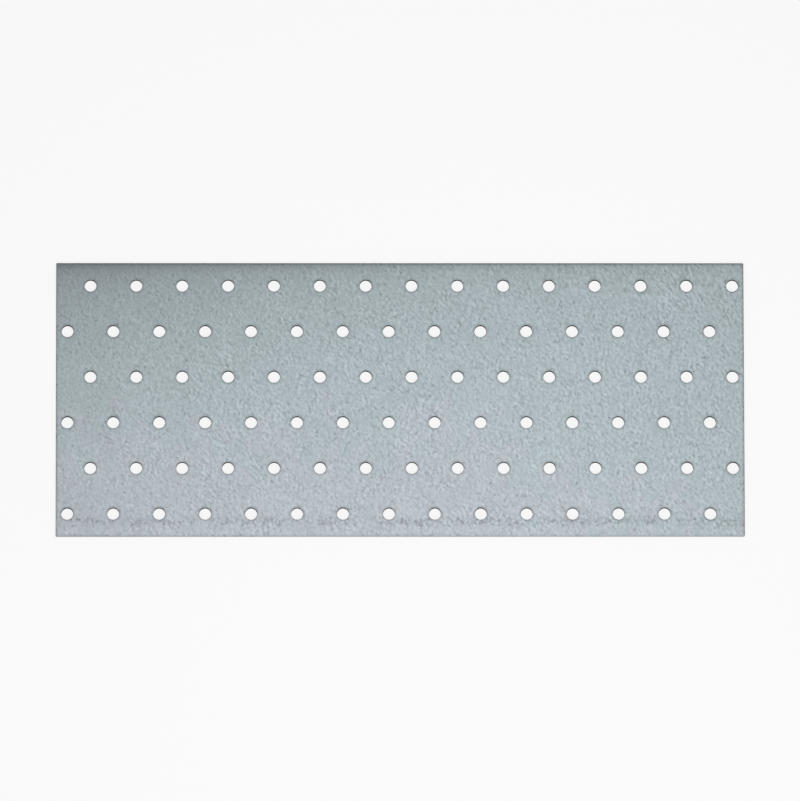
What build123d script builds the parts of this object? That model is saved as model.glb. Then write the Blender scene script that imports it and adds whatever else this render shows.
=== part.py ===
"""Perforated mending plate: one flat sheet of galvanised steel with staggered rows of punched nail holes.

All sizes are in millimetres. The sheet lies flat with its back face on z = 0, and the origin is at the
middle of that face. X runs along the long side, Y across it, and +Z points out of the front face, the one
that the punch and the shear blade entered. The hole pattern is set out from the front left corner.
"""

from build123d import *
import math
import os

# Sheet
sheet_length = 300.0
sheet_width = 120.0
sheet_thickness = 2.0
corner_radius = 0.5  # at the four corners, seen from above
edge_roll = 0.2  # how far the shear rolls the outer edge of the front face over

# Punched holes
hole_diameter = 5.0
hole_pitch = 20.0  # centre to centre along a row
row_pitch = 20.0  # from one row to the next
row_stagger = 10.0  # how far every second row is moved along the sheet
end_distance = 5.0  # from the left end to the nearest hole's centre, and the least at the right end
edge_distance = 10.0  # from the front long edge to the first row, and the least at the rear edge

# Modelling value
count_slack = 1e-6  # lets a pattern that fits exactly keep its last copy


def copies_that_fit(room, pitch):
    """How many copies at one pitch fit in a room that starts at the first copy's centre."""
    return math.floor(room / pitch + count_slack) + 1


def row_of_holes(row):
    """Centres of one row's holes, from the left end; every second row starts one stagger further in."""
    first = end_distance + (row % 2) * row_stagger
    count = copies_that_fit(sheet_length - end_distance - first, hole_pitch)
    x_positions = [first + hole * hole_pitch - sheet_length / 2 for hole in range(count)]
    y = edge_distance + row * row_pitch - sheet_width / 2
    return [(x, y) for x in x_positions]


def hole_centres():
    """Centres of all the holes, row by row from the front long edge."""
    row_count = copies_that_fit(sheet_width - 2 * edge_distance, row_pitch)
    return [centre for row in range(row_count) for centre in row_of_holes(row)]


def mending_plate():
    """The plate: cut to size, its sheared outer edge rolled on the front face, then punched right through."""
    with BuildPart() as plate:
        with BuildSketch():
            RectangleRounded(sheet_length, sheet_width, corner_radius)
        extrude(amount=sheet_thickness)
        front_face = plate.faces().sort_by(Axis.Z)[-1]
        chamfer(front_face.edges(), length=edge_roll)
        with BuildSketch():
            with Locations(hole_centres()):
                Circle(hole_diameter / 2)
        extrude(amount=sheet_thickness, mode=Mode.SUBTRACT)
    return plate.part


os.makedirs("parts", exist_ok=True)
export_step(mending_plate(), "parts/mending_plate.step")
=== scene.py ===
"""Looks of a perforated mending plate: a galvanised sheet with staggered rows of punched nail holes.

The plate is one stamped piece, so the scene has one piece of its own. It stands for the plain solid, with the
rolled lips, burnished lands and torn exits that a punch and a shear leave, under a zinc coat. Everything is
in metres in the plate's own frame: it lies on z = 0 with its middle at the origin and X along its long side.
"""

import logging
import math
import random
from dataclasses import dataclass, field, replace
from enum import Enum
from typing import ClassVar, Sequence

import bmesh
import bpy
from mathutils import Euler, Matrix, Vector, noise


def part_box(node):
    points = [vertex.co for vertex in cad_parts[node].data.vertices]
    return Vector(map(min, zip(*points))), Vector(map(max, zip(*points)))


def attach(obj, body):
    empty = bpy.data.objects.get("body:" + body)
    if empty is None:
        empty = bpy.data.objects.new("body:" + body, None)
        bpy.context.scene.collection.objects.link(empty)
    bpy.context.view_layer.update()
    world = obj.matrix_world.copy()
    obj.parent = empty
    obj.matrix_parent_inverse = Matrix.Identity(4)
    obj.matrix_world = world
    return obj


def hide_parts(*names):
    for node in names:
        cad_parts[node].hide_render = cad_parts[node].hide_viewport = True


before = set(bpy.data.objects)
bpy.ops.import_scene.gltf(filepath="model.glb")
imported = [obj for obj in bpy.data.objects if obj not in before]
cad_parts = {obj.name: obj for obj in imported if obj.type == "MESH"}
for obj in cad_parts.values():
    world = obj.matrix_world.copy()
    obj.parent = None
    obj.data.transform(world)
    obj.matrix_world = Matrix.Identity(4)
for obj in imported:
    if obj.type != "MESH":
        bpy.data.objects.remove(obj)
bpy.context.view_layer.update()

MM = 0.001
NODE = "mending_plate"
PIECE = "galvanised_plate"
BODY = "root"
STRAIN_AND_SHADE = "strain_and_shade"
LOG = logging.getLogger(NODE)

Pair = tuple[float, float]
Triple = tuple[float, float, float]
Colour = Triple
Cell = tuple[int, int]
Socket = bpy.types.NodeSocket
Inputs = dict[str | int, object]
Ring = list[bmesh.types.BMVert]

UNIT_SPAN: Pair = (0.0, 1.0)
UNIT_FALL: Pair = (1.0, 0.0)
MIDDLE_SPAN: Pair = (0.3, 0.7)  # where most of a noise's values lie


def grey(level: float) -> tuple[float, float, float, float]:
    """A neutral colour, with its alpha."""
    return (level, level, level, 1.0)


class Zone(Enum):
    """The kinds of surface on the plate, each with its own finish; the value is the mesh's material slot."""

    COAT = 0
    BORE = 1
    SHEAR = 2


@dataclass(frozen=True)
class LipPoint:
    """One point of the section of a rolled edge.

    Attributes:
        back: Its distance back from the cut's nominal line.
        sink: Its depth below the front face.
        strain_and_shade: Strain of the coat there, from 0 to 1, which also sets how much painted shade
            darkens it.
        bare: Whether the band of faces that ends there has lost its coat and takes the cut wall's finish,
            which in a hole is near-black painted shade.
    """

    back: float
    sink: float
    strain_and_shade: float
    bare: bool = False


@dataclass(frozen=True)
class EdgeProfile:
    """Section of a cut edge, from the face that the blade entered to the face that it left by.

    TEAR_SHAPE is the torn part's section: each point's share of its set-back, of its height and of its
    unevenness.

    Attributes:
        play: How far the cut's narrowest place stands back from its nominal line.
        roll_width: How far the rolled edge reaches in over the front face.
        roll_depth: How deep the rolled edge goes.
        draft: How far the top of the smooth land stands back from its foot, the cut's narrowest place.
        tear_height: Height above the back face at which the land ends and the torn part begins.
        tear_back: How far the torn part stands back from the foot of the land at the back face.
        tear_jitter: How uneven the torn part is.
        first_strain_and_shade: Strain of the coat, and with it the painted shade, where the rolled edge
            begins, as a share of that at the land.
        coated: Share of the rolled edge that still has its coat.
        roll_steps: Bands of faces in the rolled edge.
    """

    TEAR_SHAPE: ClassVar[tuple[Triple, ...]] = (
        (0.0, 1.0, 0.0),
        (0.45, 0.62, 1.0),
        (0.8, 0.28, 0.5),
        (1.0, 0.0, 0.0),
    )

    play: float
    roll_width: float
    roll_depth: float
    draft: float
    tear_height: float
    tear_back: float
    tear_jitter: float
    first_strain_and_shade: float
    coated: float
    roll_steps: int = 4

    def roll(self) -> list[LipPoint]:
        """Points of the rolled edge, from the flat of the front face down to the land.

        Returns:
            The points in that order.
        """
        points = []
        for step in range(self.roll_steps + 1):
            share = step / self.roll_steps
            turn = math.pi / 2 * share
            back = self.play + self.draft + self.roll_width * (1 - math.sin(turn))
            sink = self.roll_depth * (1 - math.cos(turn))
            strain_and_shade = self.first_strain_and_shade + (1 - self.first_strain_and_shade) * share
            points.append(LipPoint(back, sink, strain_and_shade, share > self.coated))
        return points

    def tear(self, draw: random.Random) -> list[Pair]:
        """Points of the torn part, from the end of the land to the back face.

        Args:
            draw: Random numbers for the unevenness.

        Returns:
            (distance back from the nominal line, height above the back face) of each point.
        """
        jitter = self.tear_jitter * draw.uniform(0, 1)
        return [
            (self.play + back * self.tear_back + uneven * jitter, height * (self.tear_height + jitter))
            for back, height, uneven in self.TEAR_SHAPE
        ]


@dataclass(frozen=True)
class HolePattern:
    """The staggered rows of nail holes, set out from the front left corner of the sheet.

    Attributes:
        radius: Radius of a hole's bore.
        pitch: Centre to centre along a row.
        row_pitch: From one row to the next.
        stagger: How far every second row is moved along the sheet.
        end_distance: From the left end to the nearest hole's centre.
        edge_distance: From the front long edge to the first row.
        slack: Lets a pattern that fits exactly keep its last copy.
    """

    radius: float = 2.5 * MM
    pitch: float = 20.0 * MM
    row_pitch: float = 20.0 * MM
    stagger: float = 10.0 * MM
    end_distance: float = 5.0 * MM
    edge_distance: float = 10.0 * MM
    slack: float = 1e-6

    def centres(self, length: float, width: float) -> list[Pair]:
        """Centres of all the holes, row by row from the front long edge.

        Args:
            length: The sheet's length.
            width: The sheet's width.

        Returns:
            The (x, y) of each centre.
        """
        points = []
        for row in range(self._fitting(width - 2 * self.edge_distance, self.row_pitch)):
            y = self.edge_distance + row * self.row_pitch - width / 2
            first = self.end_distance + (row % 2) * self.stagger
            for hole in range(self._fitting(length - self.end_distance - first, self.pitch)):
                points.append((first + hole * self.pitch - length / 2, y))
        return points

    def _fitting(self, room: float, pitch: float) -> int:
        """How many copies at one pitch fit in a room that starts at the first copy's centre."""
        return math.floor(room / pitch + self.slack) + 1


@dataclass(frozen=True)
class FrontRelief:
    """How far the front face lies below a dead flat one, from rolling and shearing.

    Attributes:
        droops: (depth, reach) of each curve that adds up to the droop of a sheared long edge.
        strip_width: Width of the slightly thicker strip along the front long edge.
        strip_height: How much thicker it is than the rest.
        strip_foot: A quarter of the width over which the thickness changes.
        wave_depth: Depth of the sheet's slow waves.
        wave_size: Length of a slow wave.
        wave_slice: Height at which the waves are cut out of a noise in three dimensions.
    """

    droops: tuple[Pair, ...] = ((0.12 * MM, 1.6 * MM), (0.2 * MM, 6.5 * MM))
    strip_width: float = 7.4 * MM
    strip_height: float = 0.04 * MM
    strip_foot: float = 0.45 * MM
    wave_depth: float = 0.012 * MM
    wave_size: float = 31.0 * MM
    wave_slice: float = 0.5

    def sink(self, x: float, y: float, half_width: float) -> float:
        """Depth of the front face at one place.

        Args:
            x: The place along the sheet.
            y: The place across it.
            half_width: Half of the sheet's width.

        Returns:
            How far the face is below the sheet's full thickness, and never less than nothing.
        """
        front, rear = half_width + y, half_width - y
        droop = sum(
            depth * (math.exp(-front / reach) + math.exp(-rear / reach)) for depth, reach in self.droops
        )
        strip = self.strip_height / (1 + math.exp((front - self.strip_width) / self.strip_foot))
        wave = (1 + noise.noise(Vector((x / self.wave_size, y / self.wave_size, self.wave_slice)))) / 2
        return max(0.0, droop - strip + self.wave_depth * wave)


class Bench:
    """Lays out the nodes of a material or of the world, and joins them up.

    FIRST_COLOUR, SECOND_COLOUR and MIXED_COLOUR number the colour sockets of the mix node, which share
    their names with others. NOISE_MEAN is the mean of a noise.
    """

    FIRST_COLOUR = 6
    SECOND_COLOUR = 7
    MIXED_COLOUR = 2
    NOISE_MEAN = 0.5

    def __init__(self, owner: bpy.types.ID) -> None:
        """Start with an empty node tree.

        Args:
            owner: The material or the world.
        """
        owner.use_nodes = True
        self.tree = owner.node_tree
        self.tree.nodes.clear()

    def add(self, kind: str, inputs: Inputs, **settings: object) -> bpy.types.Node:
        """Add a node.

        Args:
            kind: The node's type name in Blender.
            inputs: For each input, by name or number, the socket to wire in or the plain value to set.
            **settings: Properties to set on it first, since some of them decide what the inputs are.

        Returns:
            The new node.
        """
        node = self.tree.nodes.new(kind)
        for key, value in settings.items():
            setattr(node, key, value)
        for key, value in inputs.items():
            if isinstance(value, bpy.types.NodeSocket):
                self.tree.links.new(value, node.inputs[key])
            else:
                node.inputs[key].default_value = value
        return node

    def principled(self, inputs: Inputs) -> None:
        """End a material with a Principled shader that has these inputs."""
        shader = self.add("ShaderNodeBsdfPrincipled", inputs)
        self.add("ShaderNodeOutputMaterial", {"Surface": shader.outputs["BSDF"]})

    def place(self) -> Socket:
        """Where a point is on the piece, in metres."""
        return self.add("ShaderNodeTexCoord", {}).outputs["Object"]

    def worn(self, name: str) -> Socket:
        """A number that the mesh holds for each of its points."""
        return self.add("ShaderNodeAttribute", {}, attribute_name=name).outputs["Fac"]

    def axis(self, vector: Socket, name: str) -> Socket:
        """One of a vector's three parts, named X, Y or Z."""
        return self.add("ShaderNodeSeparateXYZ", {"Vector": vector}).outputs[name]

    def far(self, vector: Socket, point: Triple) -> Socket:
        """How far a place is from a fixed point."""
        node = self.add("ShaderNodeVectorMath", {0: vector, 1: point}, operation="DISTANCE")
        return node.outputs["Value"]

    def moved(self, vector: Socket, by: Triple) -> Socket:
        """Shift coordinates by a fixed amount."""
        return self.add("ShaderNodeVectorMath", {0: vector, 1: by}, operation="ADD").outputs["Vector"]

    def leaning(self, vector: Socket, turn: float, scale: Triple) -> Socket:
        """Turn a pattern about Z and stretch it.

        Args:
            vector: The coordinates.
            turn: The turn in degrees.
            scale: Factors along the turned X, Y and Z.

        Returns:
            The new coordinates.
        """
        inputs = {"Vector": vector, "Rotation": (0.0, 0.0, math.radians(turn)), "Scale": scale}
        return self.add("ShaderNodeMapping", inputs, vector_type="TEXTURE").outputs["Vector"]

    def noise(self, vector: Socket, size: float, detail: float = 2.0, roughness: float = 0.5) -> Socket:
        """A cloudy noise from 0 to 1.

        Args:
            vector: The coordinates.
            size: Size of its coarsest features.
            detail: Octaves of finer features.
            roughness: Strength of each octave, as a share of the one before.

        Returns:
            The noise's value.
        """
        inputs = {"Vector": vector, "Scale": 1 / size, "Detail": detail, "Roughness": roughness}
        return self.add("ShaderNodeTexNoise", inputs, noise_dimensions="3D").outputs["Fac"]

    def centred(self, value: Socket) -> Socket:
        """A noise carried down, so that its mean is 0."""
        return self.sums("SUBTRACT", value, self.NOISE_MEAN)

    def sums(self, operation: str, first: object, second: object = 0.0) -> Socket:
        """Combine two numbers, each a socket or a plain number, by a sum that Blender names."""
        return self.add("ShaderNodeMath", {0: first, 1: second}, operation=operation).outputs[0]

    def times(self, *factors: object) -> Socket:
        """Multiply two or more numbers.

        Args:
            *factors: The numbers, each a socket or a plain number.

        Returns:
            The product.
        """
        product = factors[0]
        for factor in factors[1:]:
            product = self.sums("MULTIPLY", product, factor)
        return product

    def ramp(self, value: object, span: Pair, onto: Pair, smooth: bool = False) -> Socket:
        """Carry a number from one span onto another, held at both ends.

        Args:
            value: The number.
            span: Where it starts and ends.
            onto: What those become.
            smooth: Whether it eases in and out.

        Returns:
            The new number.
        """
        ends = {"From Min": span[0], "From Max": span[1], "To Min": onto[0], "To Max": onto[1]}
        kind = "SMOOTHSTEP" if smooth else "LINEAR"
        node = self.add("ShaderNodeMapRange", {"Value": value, **ends}, interpolation_type=kind, clamp=True)
        return node.outputs["Result"]

    def blend(self, share: object, first: Colour, second: Colour) -> Socket:
        """Mix two colours.

        Args:
            share: How much of the second shows, from 0 to 1.
            first: The first colour.
            second: The second colour.

        Returns:
            The mixed colour.
        """
        inputs = {"Factor": share, self.FIRST_COLOUR: (*first, 1.0), self.SECOND_COLOUR: (*second, 1.0)}
        return self.add("ShaderNodeMix", inputs, data_type="RGBA").outputs[self.MIXED_COLOUR]

    def shade(self, colour: Socket, factor: Socket) -> Socket:
        """Multiply a colour by a number."""
        node = self.add("ShaderNodeVectorMath", {0: colour, "Scale": factor}, operation="SCALE")
        return node.outputs["Vector"]

    def relief(self, height: Socket, depth: float, under: Socket | None = None) -> Socket:
        """Turn a height into a bumped normal.

        Args:
            height: The height, where 1 stands one depth above 0.
            depth: What a height of 1 is, in metres.
            under: A normal to add it to.

        Returns:
            The normal.
        """
        inputs: Inputs = {"Height": height, "Distance": depth}
        if under is not None:
            inputs["Normal"] = under
        return self.add("ShaderNodeBump", inputs).outputs["Normal"]


@dataclass(frozen=True)
class ZincCoat:
    """Hot-dip zinc on the two faces: dull, blue-grey, finely mottled, rougher where it was strained, and
    darker there as painted shade.

    Attributes:
        half_width: Half of the sheet's width.
        cool: Colour of most of the coat at its middle tone.
        warm: Colour of its warmer patches.
        patch_size: Size of those patches.
        patch_span: Noise values between which one turns into the other.
        warm_rows: Where across the sheet the painted tint of warmer light starts and where it is fullest.
        warm_levels: What that tint adds to the patches' noise at those two places.
        warm_columns: Where along the sheet the tint starts to fade and where the sheet ends.
        warm_loss: What that takes off the noise at the second place.
        grain_size: Size of the fine mottle.
        grain_turn: Degrees by which the mottle leans from straight across the sheet.
        grain_stretch: How much longer a spot of it is than it is wide.
        grain_share: Strength of the mottle in the colour.
        grain_depth: Depth of the mottle's relief.
        side_step: From the painted shaded side of a spot to its painted lit side.
        side_share: Strength of that painted light and shade.
        fleck_size: Size of the scattered dark flecks.
        fleck_detail: Octaves of finer flecks.
        fleck_shift: From the mottle's noise to the flecks', so that the two don't follow each other.
        fleck_span: Noise values between which a fleck fades out.
        fleck_dark: What the darkest fleck multiplies the colour by.
        crowd_size: Size of the areas with more or fewer flecks.
        crowd_share: How far the number of flecks differs between them.
        cloud_size: Size of the soft clouds.
        cloud_detail: Octaves of finer clouds.
        cloud_range: What the clouds multiply the colour by.
        calm_end: What the mottle's strength is multiplied by at the left end.
        calm_span: Where along the sheet the mottle comes up to its full strength.
        calm_size: Size of the areas with a weaker or a stronger mottle.
        calm_range: What its strength is multiplied by in them.
        run_at: From the front long edge to the foot of the thicker strip, where the zinc ran and froze.
        run_width: Half of the width of the mottled line there.
        run_wander: How far the line wanders.
        run_size: Length of a wander.
        run_gap_size: Length of the stretches in which the line is strong or faint.
        run_gap_span: Noise values between which it comes and goes.
        run_dark: What the line's darkest specks multiply the colour by.
        run_crowd: How many more flecks it has, as a step of the noise.
        drag_at: Middle of the area that was dragged over something.
        drag_reach: Its inner and outer radius.
        drag_size: Width of a drag mark.
        drag_turn: Degrees by which the drag marks lean.
        drag_stretch: How much longer a drag mark is than it is wide.
        drag_detail: Octaves of finer marks among them.
        drag_share: Strength of the drag marks.
        lip_painted_shade: What full strain multiplies the colour by, as painted shade round the rolled lips.
        strain_rough: What full strain adds to the roughness.
        rough: Roughness at the middle tone.
        rough_range: How far the roughness goes to either side of it.
    """

    half_width: float
    cool: Colour = (0.3285, 0.378, 0.397)
    warm: Colour = (0.347, 0.378, 0.405)
    patch_size: float = 13.0 * MM
    patch_span: Pair = (0.45, 0.57)
    warm_rows: Pair = (20.0 * MM, -50.0 * MM)
    warm_levels: Pair = (-0.3, 0.27)
    warm_columns: Pair = (22.0 * MM, 142.0 * MM)
    warm_loss: float = -0.34
    grain_size: float = 1.18 * MM
    grain_turn: float = 22.0
    grain_stretch: float = 1.3
    grain_share: float = 0.5
    grain_depth: float = 0.01 * MM
    side_step: float = 0.85 * MM
    side_share: float = 0.24
    fleck_size: float = 1.4 * MM
    fleck_detail: float = 1.0
    fleck_shift: Triple = (0.31, 0.17, 0.05)
    fleck_span: Pair = (0.27, 0.37)
    fleck_dark: float = 0.77
    crowd_size: float = 17.0 * MM
    crowd_share: float = 0.16
    cloud_size: float = 24.0 * MM
    cloud_detail: float = 3.0
    cloud_range: Pair = (0.975, 1.025)
    calm_end: float = 0.75
    calm_span: Pair = (-145.0 * MM, -60.0 * MM)
    calm_size: float = 6.0 * MM
    calm_range: Pair = (0.5, 1.5)
    run_at: float = 6.5 * MM
    run_width: float = 3.2 * MM
    run_wander: float = 1.8 * MM
    run_size: float = 6.0 * MM
    run_gap_size: float = 26.0 * MM
    run_gap_span: Pair = (0.3, 0.5)
    run_dark: float = 0.85
    run_crowd: float = 0.11
    drag_at: Triple = (118.0 * MM, 60.0 * MM, 2.0 * MM)
    drag_reach: Pair = (8.0 * MM, 38.0 * MM)
    drag_size: float = 0.9 * MM
    drag_turn: float = 30.0
    drag_stretch: float = 4.0
    drag_detail: float = 0.0
    drag_share: float = 0.5
    lip_painted_shade: float = 0.82
    strain_rough: float = 0.06
    rough: float = 0.37
    rough_range: float = 0.03

    def material(self) -> bpy.types.Material:
        """Build the finish.

        Returns:
            The material.
        """
        material = bpy.data.materials.new("zinc_coat")
        bench = Bench(material)
        place = bench.place()
        leaning = bench.leaning(place, self.grain_turn, (1.0, self.grain_stretch, 1.0))
        grain = bench.noise(leaning, self.grain_size)
        run = self._run(bench, place)
        specks = bench.times(run, bench.ramp(grain, MIDDLE_SPAN, UNIT_FALL))
        clouds = bench.noise(place, self.cloud_size, self.cloud_detail)
        strain_and_shade = bench.worn(STRAIN_AND_SHADE)
        factor = bench.times(
            self._mottle(bench, place, leaning, grain),
            self._flecks(bench, place, leaning, run),
            self._drags(bench, place),
            bench.ramp(clouds, MIDDLE_SPAN, self.cloud_range),
            bench.ramp(specks, UNIT_SPAN, (1.0, self.run_dark)),
            # painted shade: the coat darkens round the rolled lips of the holes and of the outer edge
            bench.ramp(strain_and_shade, UNIT_SPAN, (1.0, self.lip_painted_shade)),
        )
        matt, sleek = self.rough + self.rough_range, self.rough - self.rough_range
        rough = bench.ramp(grain, MIDDLE_SPAN, (matt, sleek))
        bench.principled(
            {
                "Base Color": bench.shade(self._hue(bench, place), factor),
                "Metallic": 1.0,
                "Roughness": bench.sums("ADD", rough, bench.times(strain_and_shade, self.strain_rough)),
                "Normal": bench.relief(grain, self.grain_depth),
            }
        )
        return material

    def _hue(self, bench: Bench, place: Socket) -> Socket:
        """The coat's colour: warmer patches at random, and a painted tint of warmer light that makes them run
        together towards the front left.

        Args:
            bench: Where the nodes go.
            place: Where a point is on the piece.

        Returns:
            The colour.
        """
        # painted light: a tint of warmer light, growing towards the front left by place on the sheet, is
        # added to the patches' noise
        across = bench.ramp(bench.axis(place, "Y"), self.warm_rows, self.warm_levels)
        along = bench.ramp(bench.axis(place, "X"), self.warm_columns, (0.0, self.warm_loss))
        level = bench.sums("ADD", bench.noise(place, self.patch_size), bench.sums("ADD", across, along))
        return bench.blend(bench.ramp(level, self.patch_span, UNIT_SPAN, True), self.cool, self.warm)

    def _mottle(self, bench: Bench, place: Socket, leaning: Socket, grain: Socket) -> Socket:
        """The fine mottle: painted light and shade on the sides of its spots, uneven strength, and calmer at
        the left end.

        Args:
            bench: Where the nodes go.
            place: Where a point is on the piece.
            leaning: The same, turned and stretched as the mottle is.
            grain: The mottle's noise.

        Returns:
            What to multiply the colour by.
        """
        # painted light and shade: each spot is lighter on one side and darker on the other, as if lit from
        # the side
        beside = bench.noise(bench.moved(leaning, (self.side_step, 0.0, 0.0)), self.grain_size)
        sides = bench.times(bench.sums("SUBTRACT", grain, beside), self.side_share)
        spots = bench.times(bench.centred(grain), self.grain_share)
        calm = bench.ramp(bench.axis(place, "X"), self.calm_span, (self.calm_end, 1.0), True)
        uneven = bench.ramp(bench.noise(place, self.calm_size), MIDDLE_SPAN, self.calm_range)
        return bench.sums("ADD", bench.times(bench.sums("ADD", spots, sides), calm, uneven), 1.0)

    def _flecks(self, bench: Bench, place: Socket, leaning: Socket, run: Socket) -> Socket:
        """Scattered dark flecks, which crowd together in some areas and along the run of zinc.

        Args:
            bench: Where the nodes go.
            place: Where a point is on the piece.
            leaning: The same, turned and stretched as the mottle is.
            run: Where the run is, from 0 away from it to 1 on it.

        Returns:
            What to multiply the colour by.
        """
        crowd = bench.times(bench.centred(bench.noise(place, self.crowd_size)), self.crowd_share)
        spots = bench.noise(bench.moved(leaning, self.fleck_shift), self.fleck_size, self.fleck_detail)
        level = bench.sums("SUBTRACT", bench.sums("ADD", spots, crowd), bench.times(run, self.run_crowd))
        return bench.ramp(level, self.fleck_span, (self.fleck_dark, 1.0), True)

    def _run(self, bench: Bench, place: Socket) -> Socket:
        """The wandering line along the front long edge, where zinc ran and froze.

        Args:
            bench: Where the nodes go.
            place: Where a point is on the piece.

        Returns:
            A number from 0 away from the line to 1 on it.
        """
        sway = bench.times(bench.centred(bench.noise(place, self.run_size)), 2 * self.run_wander)
        line = bench.sums("ADD", bench.axis(place, "Y"), sway)
        away = bench.sums("ABSOLUTE", bench.sums("SUBTRACT", line, self.run_at - self.half_width))
        strong = bench.ramp(bench.noise(place, self.run_gap_size), self.run_gap_span, UNIT_SPAN, True)
        return bench.times(bench.ramp(away, (0.0, self.run_width), UNIT_FALL, True), strong)

    def _drags(self, bench: Bench, place: Socket) -> Socket:
        """Fine slanting drag marks near the rear right corner.

        Args:
            bench: Where the nodes go.
            place: Where a point is on the piece.

        Returns:
            What to multiply the colour by.
        """
        inside = bench.ramp(bench.far(place, self.drag_at), self.drag_reach, (self.drag_share, 0.0), True)
        slant = bench.leaning(place, self.drag_turn, (1.0, self.drag_stretch, 1.0))
        marks = bench.centred(bench.noise(slant, self.drag_size, self.drag_detail))
        return bench.sums("ADD", bench.times(marks, inside), 1.0)


@dataclass(frozen=True)
class CutSteel:
    """Bare steel on a cut wall: a land that the tool burnished, above a dull, torn part; in the holes,
    near-black painted shade instead.

    Attributes:
        name: The material's name.
        bright: Colour of the land.
        dull: Colour of the torn part.
        metal: 1 for clean steel, 0 for a wall that is not metal, such as a hole's near-black wall of painted
            shade.
        sheen: Specular level of such a wall.
        rough: Roughness of the land and of the torn part.
        tear_height: Height of the border between them.
        border: Width over which one turns into the other.
        border_wander: How far the border wanders.
        streak_size: Width of the marks that the tool drew down the wall, and of the torn part's grit.
        streak_stretch: How much longer they are than they are wide.
        streak_range: What they multiply the colour by.
        streak_depth: Depth of their relief.
        grit_detail: Octaves of the torn part's grit.
        grit_rough: Strength of each octave, as a share of the one before.
        tear_depth: Depth of the torn part's relief.
    """

    name: str
    bright: Colour
    dull: Colour
    metal: float
    sheen: float
    rough: Pair
    tear_height: float = 0.95 * MM
    border: float = 0.2 * MM
    border_wander: float = 0.3 * MM
    streak_size: float = 0.16 * MM
    streak_stretch: float = 9.0
    streak_range: Pair = (0.88, 1.1)
    streak_depth: float = 0.006 * MM
    grit_detail: float = 3.0
    grit_rough: float = 0.6
    tear_depth: float = 0.03 * MM

    def material(self) -> bpy.types.Material:
        """Build the finish.

        Returns:
            The material.
        """
        material = bpy.data.materials.new(self.name)
        bench = Bench(material)
        place = bench.place()
        drawn = bench.noise(bench.leaning(place, 0.0, (1.0, 1.0, self.streak_stretch)), self.streak_size)
        grit = bench.noise(place, self.streak_size, self.grit_detail, self.grit_rough)
        height = bench.sums("ADD", bench.axis(place, "Z"), bench.times(grit, self.border_wander))
        torn = bench.ramp(height, (self.tear_height, self.tear_height + self.border), UNIT_FALL, True)
        streaks = bench.ramp(drawn, MIDDLE_SPAN, self.streak_range)
        skin = bench.relief(drawn, self.streak_depth)
        bench.principled(
            {
                "Base Color": bench.shade(bench.blend(torn, self.bright, self.dull), streaks),
                "Metallic": self.metal,
                "Specular IOR Level": self.sheen,
                "Roughness": bench.ramp(torn, UNIT_SPAN, self.rough),
                "Normal": bench.relief(bench.times(grit, torn), self.tear_depth, skin),
            }
        )
        return material


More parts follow.
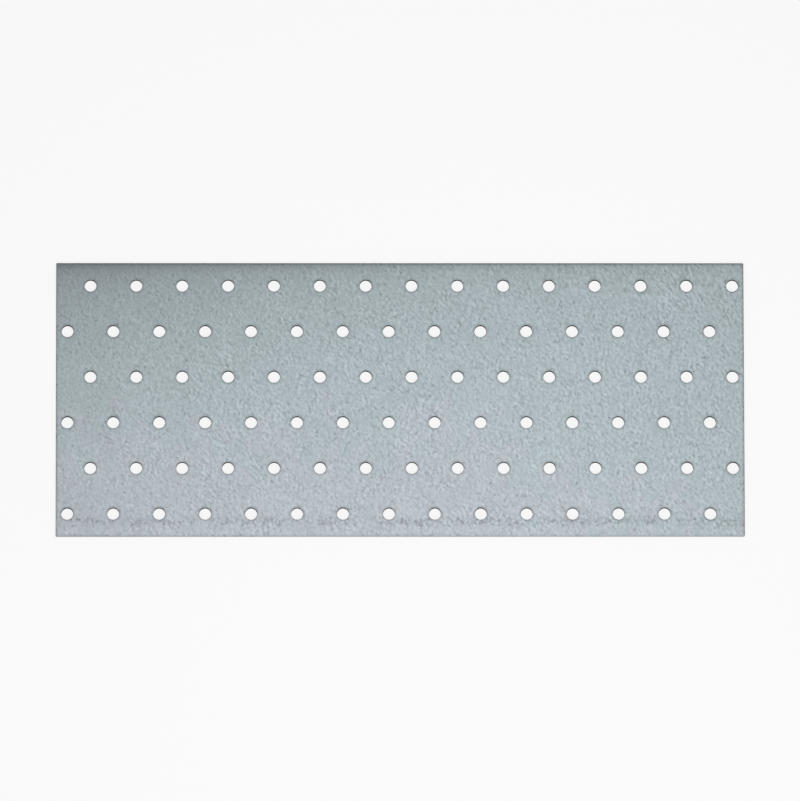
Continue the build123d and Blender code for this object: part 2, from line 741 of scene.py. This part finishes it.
@dataclass
class PunchedPlate:
    """The plate: two gridded faces, a square patch round each hole, and the outer edge wrapped round them.

    Attributes:
        length: Along X.
        width: Along Y.
        thickness: Along Z.
        holes: The pattern of the holes.
        relief: How the front face departs from flat.
        bore_edge: Section of a punched hole's wall.
        outer_edge: Section of the sheared outer edge.
        dish_width: From a hole's land to where the face starts to dip towards it.
        dish_depth: How far it dips by the start of the rolled lip.
        dish_steps: Bands of faces in the dip.
        lip_range: How much wider or narrower one hole's rolled lip is than another's.
        punch_lean: How far the punches wander along X and Y on their way through the sheet.
        bore_shade_finish: Finish of the holes' walls and bare lips, near-black as painted shade of the inside
            of the holes.
        shear_finish: Finish of the sheared outer wall.
        corner_radius: Radius of the sheet's corners.
        corner_steps: Mesh columns in a corner, less one.
        step: Side of a square of the front face's grid.
        back_stride: Squares of the front grid along the side of one on the back face.
        patch: Squares of the front grid from a hole's centre to the side of its patch.
        hole_points: Mesh points round a hole.
        crease: Angle in degrees above which an edge of the mesh stays sharp.
        seed: Start of the random numbers.
    """

    length: float
    width: float
    thickness: float
    holes: HolePattern = field(default_factory=HolePattern)
    relief: FrontRelief = field(default_factory=FrontRelief)
    bore_edge: EdgeProfile = EdgeProfile(
        play=0.1 * MM,
        roll_width=0.03 * MM,
        roll_depth=0.06 * MM,
        draft=0.03 * MM,
        tear_height=0.95 * MM,
        tear_back=0.01 * MM,
        tear_jitter=0.012 * MM,
        first_strain_and_shade=1.0,
        # no coat on a hole's rolled lip, so all of it takes the wall's near-black painted shade
        coated=0.0,
    )
    outer_edge: EdgeProfile = EdgeProfile(
        play=0.0,
        roll_width=0.25 * MM,
        roll_depth=0.15 * MM,
        draft=0.0,
        tear_height=0.9 * MM,
        tear_back=0.03 * MM,
        tear_jitter=0.015 * MM,
        first_strain_and_shade=0.8,
        coated=1.0,
    )
    dish_width: float = 1.1 * MM
    dish_depth: float = 0.012 * MM
    dish_steps: int = 3
    lip_range: Pair = (0.9, 1.15)
    punch_lean: Pair = (0.015 * MM, -0.19 * MM)
    # painted shade: the holes' walls and rolled lips are near-black, standing in for the shade inside the
    # holes
    bore_shade_finish: CutSteel = CutSteel(
        name="punched_wall_painted_shade",
        bright=(0.02, 0.021, 0.022),
        dull=(0.012, 0.012, 0.013),
        metal=0.0,
        sheen=0.0,
        rough=(0.8, 0.95),
    )
    shear_finish: CutSteel = CutSteel(
        name="sheared_wall",
        bright=(0.40, 0.41, 0.42),
        dull=(0.27, 0.275, 0.28),
        metal=1.0,
        sheen=0.5,
        rough=(0.34, 0.62),
    )
    corner_radius: float = 0.5 * MM
    corner_steps: int = 6
    step: float = 1.25 * MM
    back_stride: int = 2
    patch: int = 3
    hole_points: int = 48
    crease: float = 32.0
    seed: int = 41

    def __post_init__(self) -> None:
        """Start an empty mesh and its table of grid points."""
        self._draw = random.Random(self.seed)
        self._mesh = bmesh.new()
        self._strain_and_shade = self._mesh.verts.layers.float.new(STRAIN_AND_SHADE)
        self._columns = round(self.length / self.step)
        self._rows = round(self.width / self.step)
        self._grid: dict[tuple[int, int, bool], bmesh.types.BMVert] = {}

    def build(self) -> bpy.types.Object:
        """Make the plate's object and dress it.

        Returns:
            The piece.
        """
        cells = [self._cell_at(*centre) for centre in self.holes.centres(self.length, self.width)]
        taken = {
            (column + across, row + up)
            for column, row in cells
            for across in range(-self.patch, self.patch)
            for up in range(-self.patch, self.patch)
        }
        self._face(taken, True)
        self._face(taken, False)
        for cell in cells:
            self._hole(cell)
        self._rim()
        bmesh.ops.recalc_face_normals(self._mesh, faces=self._mesh.faces)
        data = bpy.data.meshes.new(PIECE)
        self._mesh.to_mesh(data)
        self._mesh.free()
        data.shade_smooth()
        data.set_sharp_from_angle(angle=math.radians(self.crease))
        for finish in (ZincCoat(self.width / 2), self.bore_shade_finish, self.shear_finish):
            data.materials.append(finish.material())
        piece = bpy.data.objects.new(PIECE, data)
        bpy.context.scene.collection.objects.link(piece)
        return piece

    def _cell_at(self, x: float, y: float) -> Cell:
        """Column and row of the grid point at a place."""
        return round((x + self.length / 2) / self.step), round((y + self.width / 2) / self.step)

    def _place_of(self, column: int, row: int) -> Pair:
        """Where a grid point is on the sheet."""
        return column * self.step - self.length / 2, row * self.step - self.width / 2

    @staticmethod
    def _set_back(place: Pair, outward: Pair, back: float) -> Pair:
        """A place on the outline, moved in from it."""
        return place[0] - outward[0] * back, place[1] - outward[1] * back

    def _stride(self, front: bool) -> int:
        """Squares of the front grid along the side of one square of a face."""
        return 1 if front else self.back_stride

    def _front_point(self, x: float, y: float, sink: float = 0.0, strain_and_shade: float = 0.0) -> bmesh.types.BMVert:
        """Add a mesh point on the front face.

        Args:
            x: Its place along the sheet.
            y: Its place across the sheet.
            sink: How far it is below the face.
            strain_and_shade: Strain of the coat there, from 0 to 1, which also sets how much painted shade
                darkens it.

        Returns:
            The mesh point.
        """
        point = self._mesh.verts.new((x, y, self.thickness - self.relief.sink(x, y, self.width / 2) - sink))
        point[self._strain_and_shade] = strain_and_shade
        return point

    def _grid_point(self, column: int, row: int, front: bool) -> bmesh.types.BMVert:
        """The shared mesh point of a face's grid, made when it is first asked for.

        Args:
            column: Its column on the front grid.
            row: Its row on the front grid.
            front: Whether it is on the front face.

        Returns:
            The mesh point.
        """
        key = (column, row, front)
        if key not in self._grid:
            x, y = self._place_of(column, row)
            self._grid[key] = self._front_point(x, y) if front else self._mesh.verts.new((x, y, 0.0))
        return self._grid[key]

    def _add_face(self, corners: Sequence[bmesh.types.BMVert], zone: Zone) -> None:
        """Add one face, unless its corners run together into a line.

        Args:
            corners: Its mesh points, of which some may be the same.
            zone: The kind of surface that it is.
        """
        distinct = list(dict.fromkeys(corners))
        if len(distinct) > 2:
            self._mesh.faces.new(distinct).material_index = zone.value

    def _face(self, taken: set[Cell], front: bool) -> None:
        """Lay the grid of one face, but for the squares that the holes' patches take.

        Args:
            taken: Column and row of each square that a patch takes.
            front: Whether it is the front face.
        """
        stride = self._stride(front)
        for column in range(1, self._columns - 1, stride):
            for row in range(1, self._rows - 1, stride):
                if (column, row) not in taken:
                    square = [(0, 0), (stride, 0), (stride, stride), (0, stride)]
                    corners = [self._grid_point(column + a, row + b, front) for a, b in square]
                    self._add_face(corners, Zone.COAT)

    def _patch_border(self, cell: Cell, front: bool) -> Ring:
        """Grid points round a hole's patch, anticlockwise from the corner at 45 degrees.

        Args:
            cell: Column and row of the hole's centre.
            front: Whether it is on the front face.

        Returns:
            The mesh points.
        """
        side = self.patch
        corners = [(side, side), (-side, side), (-side, -side), (side, -side)]
        ways = [(-1, 0), (0, -1), (1, 0), (0, 1)]
        border = []
        for (a, b), (across, up) in zip(corners, ways):
            for i in range(0, 2 * side, self._stride(front)):
                border.append(self._grid_point(cell[0] + a + across * i, cell[1] + b + up * i, front))
        return border

    def _hole(self, cell: Cell) -> None:
        """Make one hole: its patches on the two faces, its dished and rolled lip, its land and its torn exit.

        Args:
            cell: Column and row of its centre.
        """
        centre = self._place_of(*cell)
        turns = [math.pi / 4 + 2 * math.pi * i / self.hole_points for i in range(self.hole_points)]
        rays = [(math.cos(turn), math.sin(turn)) for turn in turns]
        radius = self.holes.radius
        rings: list[tuple[Ring, Zone]] = []
        for lip in self._lip():
            reach = radius + lip.back
            points = [(centre[0] + reach * a, centre[1] + reach * b) for a, b in rays]
            ring = [self._front_point(x, y, lip.sink, lip.strain_and_shade) for x, y in points]
            rings.append((ring, Zone.BORE if lip.bare else Zone.COAT))
        for level in zip(*[self.bore_edge.tear(self._draw) for _ in rays]):
            ring = []
            for (a, b), (back, height) in zip(rays, level):
                reach, depth = radius + back, 1 - height / self.thickness
                x = centre[0] + reach * a + self.punch_lean[0] * depth
                y = centre[1] + reach * b + self.punch_lean[1] * depth
                ring.append(self._mesh.verts.new((x, y, height)))
            rings.append((ring, Zone.BORE))
        self._fan(self._patch_border(cell, True), rings[0][0])
        self._skin(rings)
        self._fan(self._patch_border(cell, False), rings[-1][0])

    def _lip(self) -> list[LipPoint]:
        """Section of the front face round a hole: it dips a little, and then rolls over into the land.

        Returns:
            The points, from the flat of the face to the land.
        """
        grow = self._draw.uniform(*self.lip_range)
        roll = [
            replace(point, back=point.back * grow, sink=point.sink + self.dish_depth)
            for point in self.bore_edge.roll()
        ]
        dish = []
        for step in range(self.dish_steps):
            share = step / self.dish_steps
            back = self.dish_width + share * (roll[0].back - self.dish_width)
            strain_and_shade = self.bore_edge.first_strain_and_shade * math.sqrt(share)
            dish.append(LipPoint(back, self.dish_depth * share**2, strain_and_shade))
        return dish + roll

    def _fan(self, border: Ring, ring: Ring) -> None:
        """Join a patch's border to a ring that has an even number of points for each of the border's.

        Args:
            border: The coarser loop.
            ring: The finer loop.
        """
        ratio = len(ring) // len(border)
        for index, corner in enumerate(border):
            following = border[(index + 1) % len(border)]
            start = index * ratio
            for part in range(ratio):
                near = corner if part < ratio // 2 else following
                self._add_face([near, ring[(start + part + 1) % len(ring)], ring[start + part]], Zone.COAT)
            self._add_face([corner, following, ring[start + ratio // 2]], Zone.COAT)

    def _skin(self, rings: list[tuple[Ring, Zone]]) -> None:
        """Join neighbouring rings with faces; each band takes the second ring's zone.

        Args:
            rings: The rings in order.
        """
        for (outer, _), (inner, zone) in zip(rings, rings[1:]):
            for i in range(len(outer)):
                j = (i + 1) % len(outer)
                self._add_face([outer[i], outer[j], inner[j], inner[i]], zone)

    def _rim(self) -> None:
        """Wrap the sheared outer edge round the two faces."""
        columns = self._rim_columns()
        rings = [([self._grid_point(*inner, True) for inner, _, _ in columns], Zone.COAT)]
        for lip in self.outer_edge.roll():
            places = [self._set_back(place, outward, lip.back) for _, place, outward in columns]
            ring = [self._front_point(*place, lip.sink, lip.strain_and_shade) for place in places]
            rings.append((ring, Zone.SHEAR if lip.bare else Zone.COAT))
        for level in zip(*[self.outer_edge.tear(self._draw) for _ in columns]):
            ring = []
            for (_, place, outward), (back, height) in zip(columns, level):
                ring.append(self._mesh.verts.new((*self._set_back(place, outward, back), height)))
            rings.append((ring, Zone.SHEAR))
        stride = self.back_stride
        back_border = []
        for (column, row), _, _ in columns:
            coarse = (1 + (column - 1) // stride * stride, 1 + (row - 1) // stride * stride)
            back_border.append(self._grid_point(*coarse, False))
        rings.append((back_border, Zone.COAT))
        self._skin(rings)

    def _rim_columns(self) -> list[tuple[Cell, Pair, Pair]]:
        """Places round the outline, anticlockwise from the front right corner.

        Returns:
            For each, the grid point inside it, the point on the outline and the outward direction.
        """
        columns: list[tuple[Cell, Pair, Pair]] = []
        half_x, half_y = self.length / 2, self.width / 2
        runs = [
            ((half_x, -half_y), (1, 0), (0, 1), self._rows),
            ((half_x, half_y), (0, 1), (-1, 0), self._columns),
            ((-half_x, half_y), (-1, 0), (0, -1), self._rows),
            ((-half_x, -half_y), (0, -1), (1, 0), self._columns),
        ]
        for corner, outward, along, squares in runs:
            columns += self._corner_columns(corner, outward, along)
            for i in range(1, squares):
                x = corner[0] + along[0] * i * self.step
                y = corner[1] + along[1] * i * self.step
                column, row = self._cell_at(x, y)
                columns.append(((column - outward[0], row - outward[1]), (x, y), outward))
        return columns

    def _corner_columns(self, corner: Pair, outward: Cell, along: Cell) -> list[tuple[Cell, Pair, Pair]]:
        """Places round one corner of the outline, which all lie outside the same grid point.

        Args:
            corner: Where the two sides would meet.
            outward: Outward direction of the side that starts here.
            along: Direction of the side that starts here.

        Returns:
            The columns of the arc.
        """
        inward = (along[0] - outward[0], along[1] - outward[1])
        column, row = self._cell_at(*corner)
        inner = (column + inward[0], row + inward[1])
        middle = (corner[0] + inward[0] * self.corner_radius, corner[1] + inward[1] * self.corner_radius)
        columns = []
        for i in range(self.corner_steps + 1):
            turn = math.pi / 2 * i / self.corner_steps
            direction = (
                outward[0] * math.sin(turn) - along[0] * math.cos(turn),
                outward[1] * math.sin(turn) - along[1] * math.cos(turn),
            )
            place = (
                middle[0] + direction[0] * self.corner_radius,
                middle[1] + direction[1] * self.corner_radius,
            )
            columns.append((inner, place, direction))
        return columns


@dataclass(frozen=True)
class Studio:
    """A pale floor, a pale wall all round, a dimmer ceiling, and one wide softbox over the front edge.

    Attributes:
        floor_size: Side of the square floor.
        paper: How bright the floor is to the eye.
        paper_share: How much of the floor's look is that; the rest takes the light and the shadow.
        paper_diffuse: How much of the light the floor throws back.
        wall: How bright the wall is.
        ceiling: How bright the ceiling is.
        wall_top: Sines of the heights above the horizon between which the wall fades into the ceiling.
        box_place: Middle of the softbox.
        box_size: The softbox's short and long side.
        box_turn: Degrees by which the short side is turned from X.
        box_power: The softbox's power in watts.
    """

    floor_size: float = 60.0
    paper: float = 0.962
    paper_share: float = 0.9
    paper_diffuse: float = 0.85
    wall: float = 1.25
    ceiling: float = 0.091
    wall_top: Pair = (0.5, 0.9)
    box_place: Triple = (0.058, -0.202, 0.38)
    box_size: Pair = (0.52, 0.716)
    box_turn: float = 15.0
    box_power: float = 1.72

    def build(self) -> None:
        """Make the floor, the surroundings and the softbox."""
        self._floor()
        self._surroundings()
        self._softbox()

    def _floor(self) -> None:
        """Lay the floor, square and centred under the plate."""
        half = self.floor_size / 2
        data = bpy.data.meshes.new("floor")
        corners = [(-half, -half, 0.0), (half, -half, 0.0), (half, half, 0.0), (-half, half, 0.0)]
        data.from_pydata(corners, [], [(0, 1, 2, 3)])
        data.materials.append(self._paper())
        floor = bpy.data.objects.new("floor", data)
        bpy.context.scene.collection.objects.link(floor)

    def _paper(self) -> bpy.types.Material:
        """Build the floor's finish: white to the camera, mirrors and glass, with the plate's shadow on it.

        Returns:
            The material.
        """
        material = bpy.data.materials.new("floor_paper")
        bench = Bench(material)
        path = bench.add("ShaderNodeLightPath", {})
        seen = path.outputs["Is Camera Ray"]
        for name in ("Is Glossy Ray", "Is Transmission Ray"):
            seen = bench.sums("MAXIMUM", seen, path.outputs[name])
        share = bench.times(seen, self.paper_share)
        paper = bench.add("ShaderNodeBsdfDiffuse", {"Color": grey(self.paper_diffuse)})
        glow = bench.add("ShaderNodeEmission", {"Color": grey(self.paper)})
        mix = bench.add("ShaderNodeMixShader", {0: share, 1: paper.outputs[0], 2: glow.outputs[0]})
        bench.add("ShaderNodeOutputMaterial", {"Surface": mix.outputs[0]})
        return material

    def _surroundings(self) -> None:
        """Put the pale wall round the horizon and the dimmer ceiling above it."""
        world = bpy.data.worlds.new("studio")
        bench = Bench(world)
        direction = bench.add("ShaderNodeTexCoord", {}).outputs["Generated"]
        strength = bench.ramp(bench.axis(direction, "Z"), self.wall_top, (self.wall, self.ceiling), True)
        light = bench.add("ShaderNodeBackground", {"Strength": strength})
        bench.add("ShaderNodeOutputWorld", {"Surface": light.outputs[0]})
        bpy.context.scene.world = world

    def _softbox(self) -> None:
        """Hang the softbox, facing straight down."""
        data = bpy.data.lights.new("softbox", "AREA")
        data.shape = "RECTANGLE"
        data.size, data.size_y = self.box_size
        data.energy = self.box_power
        lamp = bpy.data.objects.new("softbox", data)
        lamp.location = self.box_place
        lamp.rotation_euler = (0.0, 0.0, math.radians(self.box_turn))
        lamp.visible_camera = False
        bpy.context.scene.collection.objects.link(lamp)


@dataclass(frozen=True)
class PhotoCamera:
    """A long lens that looks down on the plate, a little from its front long edge.

    Attributes:
        distance: From the plate's middle.
        tilt: Degrees from straight above, towards the front.
        aside: Degrees from straight above, towards the left.
        frame_width: Width of what the picture takes in at the plate.
        frame_pixels: Width and height of the picture.
        sensor: Side of the sensor that the longer side of the picture takes up, in millimetres.
        aim: The point at the middle of the picture.
        clip: Nearest and furthest distance that the camera sees.
    """

    distance: float = 4.2
    tilt: float = 6.7
    aside: float = 0.95
    frame_width: float = 348.7 * MM
    frame_pixels: tuple[int, int] = (800, 801)
    sensor: float = 36.0
    aim: Triple = (-0.085 * MM, -0.33 * MM, 1.0 * MM)
    clip: Pair = (0.1, 200.0)

    def build(self) -> bpy.types.Object:
        """Make the camera and look through it.

        Returns:
            The camera.
        """
        data = bpy.data.cameras.new("photo_camera")
        data.sensor_width = self.sensor
        long_side = self.frame_width * max(self.frame_pixels) / self.frame_pixels[0]
        data.lens = self.sensor * self.distance / long_side
        data.clip_start, data.clip_end = self.clip
        camera = bpy.data.objects.new("photo_camera", data)
        turn = Euler((math.radians(self.tilt), -math.radians(self.aside), 0.0), "YXZ")
        camera.location = Vector(self.aim) + turn.to_matrix() @ Vector((0.0, 0.0, self.distance))
        camera.rotation_mode = turn.order
        camera.rotation_euler = turn
        bpy.context.scene.collection.objects.link(camera)
        bpy.context.scene.camera = camera
        return camera


def main() -> None:
    """Build the plate, the studio and the camera in turn."""
    logging.basicConfig(level=logging.INFO, format="%(name)s: %(message)s")
    bpy.context.scene.view_settings.view_transform = "Standard"
    low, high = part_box(NODE)
    piece = PunchedPlate(*(high - low)).build()
    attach(piece, BODY)
    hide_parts(NODE)
    LOG.info("%s: %d faces on %s", piece.name, len(piece.data.polygons), BODY)
    Studio().build()
    camera = PhotoCamera().build()
    LOG.info("%s: %.0f mm lens", camera.name, camera.data.lens)


if __name__ == "__main__":
    main()
